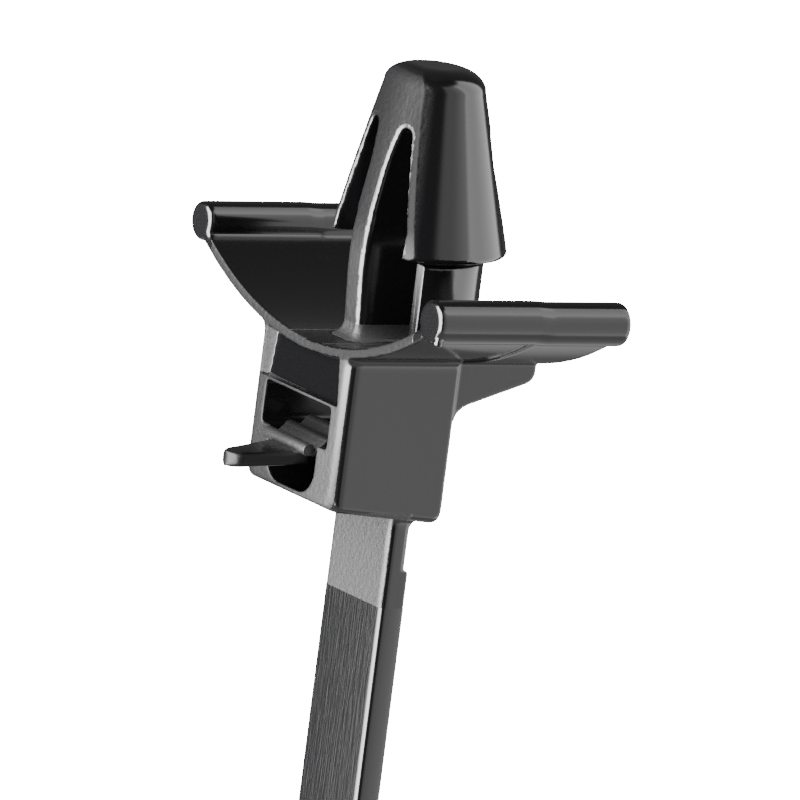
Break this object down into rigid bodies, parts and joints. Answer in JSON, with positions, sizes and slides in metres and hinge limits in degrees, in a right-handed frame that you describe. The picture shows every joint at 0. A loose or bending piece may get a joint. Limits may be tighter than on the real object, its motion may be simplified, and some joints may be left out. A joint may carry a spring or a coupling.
{
  "type": "arrowhead mount cable tie",
  "caption": "One-piece cable tie with a barbed arrowhead panel mount, sprung wings with beaded edges, an open ratchet head with a pawl, and a long flexible strap.",
  "frame": {"origin": "on the arrowhead's axis, in the plane of the panel that the wing beads seat on", "axes": "+Z out of the panel hole along the arrowhead towards its nose; the ratchet head's window opens towards -Y; the wings reach out along X and the strap hangs along -Z"},
  "size_m": [0.0202, 0.012, 0.1778],
  "materials": {
    "black_nylon": "black moulded nylon, glossy on the turned faces and finely textured on the front"
  },
  "bodies": {
    "root": {"cable_tie": "black_nylon"}
  },
  "joints": []
}
